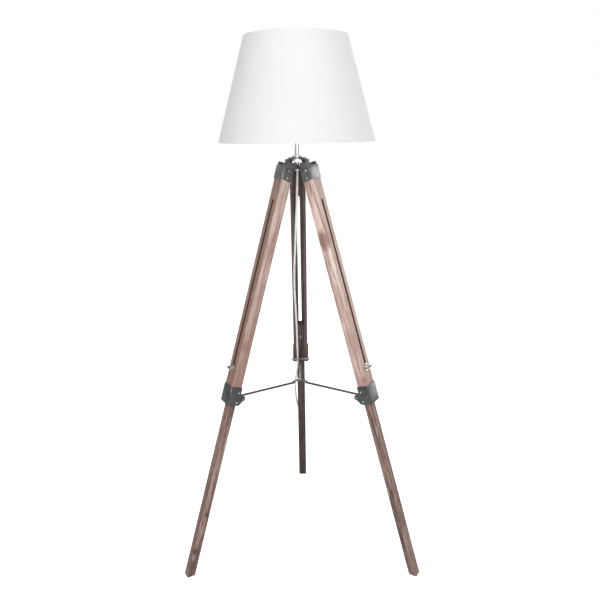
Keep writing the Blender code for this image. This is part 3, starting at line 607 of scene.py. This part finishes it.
RELIEF_LENGTH = 0.0200
RELIEF_RIBS = 6
RIB_DEPTH = 0.0009
PLUG_END = 0.0500                 # the flat body's far face
PLUG_EDGE = 0.0022
NECK_HALF = 0.0066
PIN_OFFSET = 0.0088
PIN_LENGTH = 0.0190
PIN_RADIUS = 0.0020
SLEEVE_LENGTH = 0.0095
AT_AXIS = 0.0001                  # a turned profile's first and last radius, closed by a flat cap


def make_plug(plastic, metal, dark):
    """A flat two-pin plug with a ribbed strain relief; +Z runs out of the hank's far end."""
    low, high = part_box("plug")
    place = Matrix.Translation(Vector((middle("plug").x, low.y, middle("plug").z)))
    out = place @ Matrix.Rotation(math.radians(-90), 4, "X")
    profile = [(AT_AXIS, 0.0002), (0.0036, 0.0002)]
    for rib in range(RELIEF_RIBS):
        base = 0.0006 + RELIEF_LENGTH * rib / RELIEF_RIBS
        reach = 0.0038 + 0.0016 * rib / RELIEF_RIBS
        profile += [(reach, base), (reach, base + 0.0020)]
        profile += [(reach - RIB_DEPTH, base + 0.0023), (reach - RIB_DEPTH, base + 0.0031)]
    profile += [(0.0058, RELIEF_LENGTH + 0.0005), (AT_AXIS, RELIEF_LENGTH + 0.0005)]
    mesh = lathe_mesh("plug_relief", profile, 20, out)
    relief = add_piece("plug_relief", mesh, plastic, "leg_c")
    half = (high.z - low.z) / 2
    neck = RELIEF_LENGTH - 0.0010
    shoulder = neck + 0.0100
    end = PLUG_END
    outline = [(neck, -NECK_HALF), (shoulder, -half), (end, -half)]
    outline += [(end, half), (shoulder, half), (neck, NECK_HALF)]
    flat = place @ Matrix(((0, 0, 1, 0), (1, 0, 0, 0), (0, 1, 0, 0), (0, 0, 0, 1)))
    thickness = high.x - low.x
    mesh = slab_mesh("plug_body", outline, thickness, flat, PLUG_EDGE)
    body = add_piece("plug_body", mesh, plastic, "leg_c")
    pieces = [relief, body]
    sleeve_start = end - 0.0010
    sleeve_end = end + SLEEVE_LENGTH
    sleeve = [(AT_AXIS, sleeve_start), (PIN_RADIUS - 0.0001, sleeve_start)]
    sleeve += [(PIN_RADIUS - 0.0001, sleeve_end), (AT_AXIS, sleeve_end)]
    pin_start = sleeve_end - 0.0005
    pin_end = end + PIN_LENGTH
    pin = [(AT_AXIS, pin_start), (PIN_RADIUS, pin_start), (PIN_RADIUS, pin_end - 0.0012)]
    pin += [(0.0012, pin_end), (AT_AXIS, pin_end)]
    for index, side in enumerate((-1, 1)):
        seat = out @ Matrix.Translation((0, side * PIN_OFFSET, 0))
        pieces.append(add_piece("plug_sleeve_%d" % index, lathe_mesh("sleeve", sleeve, 16, seat), dark,
                                "leg_c"))
        pieces.append(add_piece("plug_pin_%d" % index, lathe_mesh("pin", pin, 16, seat), metal,
                                "leg_c"))
    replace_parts(body, "plug")
    return pieces


# ---------------------------------------------------------------- shade
HEM = 0.0060                      # height of the turned-over cloth at each rim
HEM_EDGE = 0.0004                 # the hem's slanted inner border
CLOTH_LIFT = 0.00022
LINING_INSET = 0.0007
SHADE_STEPS = 180
SHADE_ROWS = 24
SEAM_HALF = 0.0060
SEAM_LIFT = 0.00035
SEAM_THICKNESS = 0.0003
SEAM_ROWS = 12


def shade_radius(height):
    """The CAD shade's outer radius at its lower (0) to upper (1) edge."""
    low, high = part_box("shade_fabric")
    level = low.z + height * (high.z - low.z)
    reach = [math.hypot(v.co.x - AXIS.x, v.co.y - AXIS.y) for v in NODES["shade_fabric"].data.vertices
             if abs(v.co.z - level) < 0.001]
    return max(reach)


def hem_profile(edge, way, lift):
    """The turned-over cloth at one rim: its outer face, the fold over the rim and its inner face."""
    outer = [edge + HEM * way + 0.2 * lift, edge + (HEM - HEM_EDGE) * way + 1.2 * lift]
    outer.append(edge + 0.0003 * way + 1.2 * lift)
    inner = [edge - 0.0002 * way, edge + 0.0002 * way - 5.2 * lift]
    inner += [edge + HEM * way - 5.2 * lift, edge + HEM * way - 4.2 * lift]
    return [tuple(point) for point in outer + inner]


def make_shade(cloth, lining):
    low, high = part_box("shade_fabric")
    bottom = Vector((shade_radius(0), low.z))
    top = Vector((shade_radius(1), high.z))
    slant = top - bottom
    along = slant.normalized()
    outward = Vector((along.y, -along.x))
    place = Matrix.Translation(AXIS)

    def ripple(angle, height):
        return 0.00012 * math.sin(11 * angle + 40 * height) + 0.00010 * math.sin(23 * angle - 25 * height)

    profile = [tuple(bottom + slant * row / SHADE_ROWS) for row in range(SHADE_ROWS + 1)]
    mesh = lathe_mesh("shade_cloth", profile, SHADE_STEPS, place, wave=ripple)
    outside = add_piece("shade_cloth", mesh, cloth, "shade")
    profile = [tuple(Vector(point) - LINING_INSET * outward) for point in (bottom, top)]
    mesh = lathe_mesh("shade_lining", profile, SHADE_STEPS, place)
    inside = add_piece("shade_lining", mesh, lining, "shade")
    for name, edge, way in (("lower_hem", bottom, along), ("upper_hem", top, -along)):
        hem = hem_profile(edge, way, CLOTH_LIFT * outward)
        mesh = lathe_mesh(name, hem, SHADE_STEPS, place, closed=True)
        add_piece(name, mesh, cloth, "shade", 50)
    make_seam(cloth, bottom, top, outward)
    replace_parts(outside, "shade_fabric")


def make_seam(cloth, bottom, top, outward):
    """The overlapped upright seam at the back of the shade."""
    form = bmesh.new()
    lines = []
    for row in range(SEAM_ROWS + 1):
        point = bottom.lerp(top, 0.03 + 0.94 * row / SEAM_ROWS) + SEAM_LIFT * outward
        line = []
        for side in (-1, 0, 1):
            angle = math.radians(90) + side * SEAM_HALF / point.x
            spot = Vector((point.x * math.cos(angle), point.x * math.sin(angle), point.y))
            line.append(form.verts.new(AXIS + spot))
        lines.append(line)
    for below, above in zip(lines, lines[1:]):
        for left in range(2):
            form.faces.new((below[left], below[left + 1], above[left + 1], above[left]))
    bmesh.ops.recalc_face_normals(form, faces=form.faces)
    bmesh.ops.solidify(form, geom=list(form.faces), thickness=SEAM_THICKNESS)
    mesh = bpy.data.meshes.new("shade_seam")
    form.to_mesh(mesh)
    form.free()
    return add_piece("shade_seam", mesh, cloth, "shade")


# ---------------------------------------------------------------- brackets and fasteners
EDGE_ROUND = 0.0005
BEND_RADIUS = 0.0030
HEAD_PLATE_ROUND = 0.0006
COLLAR_ROUND = 0.0008
# Screws through both cheeks of a leg's brackets: (out, up) in the leg's axes.
SCREW_SPOTS = {"top": [(0.0000, -0.0200)], "spreader": [(-0.0090, -0.6080), (-0.0090, -0.6345)]}
SCREW_RADIUS = 0.0025
RIVET_RADIUS = 0.0024
RIVET_CIRCLE = 0.0205             # from the lamp's axis to a hub rivet


def replace_softened(node, width, material, body, bends=None, bend_radius=0.0):
    mesh = soften(node, width, bends, bend_radius)
    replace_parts(add_piece(node + "_rounded", mesh, material, body, 30), node)


def bend_picker(letter):
    """Says whether an edge is one of the two where a leg bracket's outer plate turns into a cheek."""
    back = leg_frame(letter).inverted()
    reach = cheek_reach(letter)

    def picked(edge):
        ends = [back @ vertex.co for vertex in edge.verts]
        outside = all(abs(abs(end.y) - reach) < 0.0001 and end.x > 0.0150 for end in ends)
        return outside and abs(ends[0].z - ends[1].z) > 0.0200
    return picked


def add_screw(name, place, material, body, radius=SCREW_RADIUS):
    """A pan head with a sunk middle, seated on place's XY plane."""
    rise = 0.45 * radius
    profile = [(AT_AXIS, rise * 0.35), (radius * 0.32, rise * 0.35), (radius * 0.42, rise)]
    profile += [(radius * 0.72, rise * 0.85), (radius * 0.95, rise * 0.4), (radius, 0.0), (AT_AXIS, 0.0)]
    add_piece(name, lathe_mesh(name, profile, 20, place), material, body)


def make_leg_screws(letter, material):
    """Screws through both cheeks of a leg's two brackets."""
    turn = leg_frame(letter)
    reach = cheek_reach(letter)
    for where, places in SCREW_SPOTS.items():
        for index, (x, z) in enumerate(places):
            for side in (-1, 1):
                seat = turn @ Matrix.Translation((x, side * reach, z))
                seat = seat @ Matrix.Rotation(math.radians(-90 * side), 4, "X")
                add_screw("%s_screw_%s_%d%s" % (where, letter, index, "lr"[side > 0]), seat, material,
                          "leg_" + letter)


def cheek_reach(letter):
    """How far a bracket's cheek stands from the leg's middle, along the hinge."""
    back = leg_frame(letter).inverted()
    return max((back @ vertex.co).y for vertex in NODES["spreader_bracket_" + letter].data.vertices)


def make_hub_rivets(metal):
    """A rivet over each rod's end on the spreader's hub."""
    hub_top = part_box("spreader_hub")[1].z
    for letter in LEGS:
        away = leg_frame(letter).translation - AXIS
        away.z = 0
        spot = AXIS + RIVET_CIRCLE * away.normalized()
        spot.z = hub_top
        add_screw("hub_rivet_" + letter, Matrix.Translation(spot), metal, "root", RIVET_RADIUS)


# ---------------------------------------------------------------- studio
LIGHT_AIM = (0, 0, 0.8)
# Softboxes: name, place, (width, height) and power in watts.
SOFTBOXES = [
    ("key", (0.8, -2.4, 2.5), (1.3, 1.3), 30),
    ("front", (0.2, -3.1, 1.0), (1.2, 1.2), 22),
    ("fill", (-1.6, -2.3, 2.1), (1.2, 1.2), 16),
    ("rim", (2.1, 1.2, 0.80), (1.2, 2.4), 18),
    ("back", (-1.0, 2.8, 1.7), (1.4, 1.4), 30),
]
WORLD_STRENGTH = 0.50
FLOOR_HALF = 9.0
FLOOR_GLOW = 0.90


def add_softbox(name, place, size, power):
    """A rectangular light turned towards the lamp's middle."""
    data = bpy.data.lights.new(name, "AREA")
    data.shape = "RECTANGLE"
    data.size, data.size_y = size
    data.energy = power
    light = bpy.data.objects.new(name, data)
    light.location = place
    light.rotation_euler = (Vector(LIGHT_AIM) - Vector(place)).to_track_quat("-Z", "Y").to_euler()
    bpy.context.scene.collection.objects.link(light)


def make_studio():
    scene = bpy.context.scene
    scene.view_settings.view_transform = "Standard"
    world = bpy.data.worlds.new("studio")
    scene.world = world
    world.use_nodes = True
    tree = world.node_tree
    seen = add_node(tree, "ShaderNodeLightPath").outputs["Is Camera Ray"]
    strength = spread(tree, seen, WORLD_STRENGTH, 1.0)
    tree.links.new(strength, tree.nodes["Background"].inputs["Strength"])
    tree.nodes["Background"].inputs["Color"].default_value = (1, 1, 1, 1)
    form = bmesh.new()
    bmesh.ops.create_grid(form, x_segments=4, y_segments=4, size=FLOOR_HALF)
    mesh = bpy.data.meshes.new("studio_floor")
    form.to_mesh(mesh)
    form.free()
    floor = bpy.data.objects.new("studio_floor", mesh)
    scene.collection.objects.link(floor)
    paint(floor, studio_material("studio_floor", grey(0.62), grey(0.66), FLOOR_GLOW))
    for softbox in SOFTBOXES:
        add_softbox(*softbox)


# ---------------------------------------------------------------- assembly
def make_materials():
    return {
        "nickel": metal_material("dark_nickel", (0.20, 0.20, 0.208), (0.29, 0.29, 0.298), (0.24, 0.40)),
        # The spreader brackets' nickel: the same finish, darkened as painted shade.
        "shaded nickel": metal_material("painted_shade_nickel", (0.105, 0.110, 0.110), (0.18, 0.185, 0.182),
                                     (0.24, 0.40)),
        "rod": metal_material("rod_nickel", (0.12, 0.12, 0.122), (0.19, 0.19, 0.192), (0.24, 0.36)),
        "steel": metal_material("dark_steel", (0.20, 0.20, 0.205), (0.34, 0.34, 0.345), (0.20, 0.34)),
        "chrome": metal_material("chrome", (0.72, 0.72, 0.74), (0.84, 0.84, 0.86), (0.05, 0.12)),
        "zinc": metal_material("zinc", (0.52, 0.52, 0.53), (0.76, 0.76, 0.77), (0.22, 0.38)),
        "brass": metal_material("brass_contact", (0.62, 0.45, 0.18), (0.80, 0.62, 0.30), (0.22, 0.36)),
        "wire": metal_material("white_wire", grey(0.74), grey(0.86), (0.30, 0.45), metallic=0.0),
        "plastic": plastic_material("white_plastic", (0.80, 0.80, 0.78), (0.88, 0.88, 0.86),
                                    (0.28, 0.42), 0.2),
        "sleeve": plastic_material("pin_sleeve", grey(0.05), grey(0.09), (0.35, 0.5)),
        "cloth": cloth_material("white_fabric", (0.705, 0.688, 0.710), (0.785, 0.768, 0.790)),
        "lining": plastic_material("shade_lining", (0.84, 0.84, 0.83), (0.90, 0.90, 0.89), (0.45, 0.6)),
        "glass": glass_material(),
        "flex": flex_material(),
    }


def paint_nodes(made):
    groups = {
        "chrome": ["stem_tube"],
        "zinc": ["stem_nut", "hub_screw", "bulb_cap"],
        "nickel": ["spreader_hub"],
        "steel": [],
        "wire": ["shade_top_wire", "shade_bottom_wire", "shade_fitter"],
        "plastic": ["cord_bush", "lampholder_cap", "lampholder_shell", "shade_ring_nut", "switch_key",
                    "cord_tie"],
        "brass": ["lamp_contact"],
        "glass": ["bulb_glass"],
    }
    for letter in LEGS:
        groups["zinc"] += [name + letter for name in ("lock_washer_", "wing_nut_")]
        groups["steel"] += [name + letter for name in ("pivot_bolt_", "spreader_bolt_", "lock_bolt_")]
    for key, names in groups.items():
        for name in names:
            paint(NODES[name], made[key])


def paint_leg(letter, index):
    """The two woods of one leg, each with its own part of the grain."""
    turn = leg_frame(letter)
    # The tones and wash are brightened or darkened per leg as painted light and shade: leg c darker, legs a
    # and b brighter.
    upper = toned(UPPER_TONES, LEG_PAINTED_LIGHT[letter])
    lower = toned(LOWER_TONES, min(1, LEG_PAINTED_LIGHT[letter]))
    wash = toned([PALE_WASH], LEG_PAINTED_LIGHT[letter])[0]
    paint(NODES["upper_leg_" + letter],
          wood_material("upper_wood_" + letter, turn, 0.37 * index, upper, wash,
                        MARKS["upper_" + letter], LEG_FOOT_DARKENING[letter], LEG_OUTER_SHADE[letter], True))
    paint(NODES["lower_leg_" + letter],
          wood_material("lower_wood_" + letter, turn, 0.61 * index, lower, upper[2],
                        MARKS["lower_" + letter], 0.0, 0.0, False))


def build_scene():
    make_camera()
    made = make_materials()
    paint_nodes(made)
    for index, letter in enumerate(LEGS, 1):
        paint_leg(letter, index)
        paint(NODES["spreader_rod_" + letter], made["rod"])
        # The spreader brackets get the darker nickel as painted shade.
        for name, finish in (("top_bracket_", "nickel"), ("spreader_bracket_", "shaded nickel")):
            replace_softened(name + letter, EDGE_ROUND, made[finish], "leg_" + letter,
                             bend_picker(letter), BEND_RADIUS)
        make_leg_screws(letter, made["zinc"])
    replace_softened("head_plate", HEAD_PLATE_ROUND, made["nickel"], "root")
    replace_softened("stem_collar", COLLAR_ROUND, made["chrome"], "root")
    make_hub_rivets(made["zinc"])
    make_cord(made["flex"], make_plug(made["plastic"], made["zinc"], made["sleeve"]))
    make_shade(made["cloth"], made["lining"])
    make_studio()


build_scene()
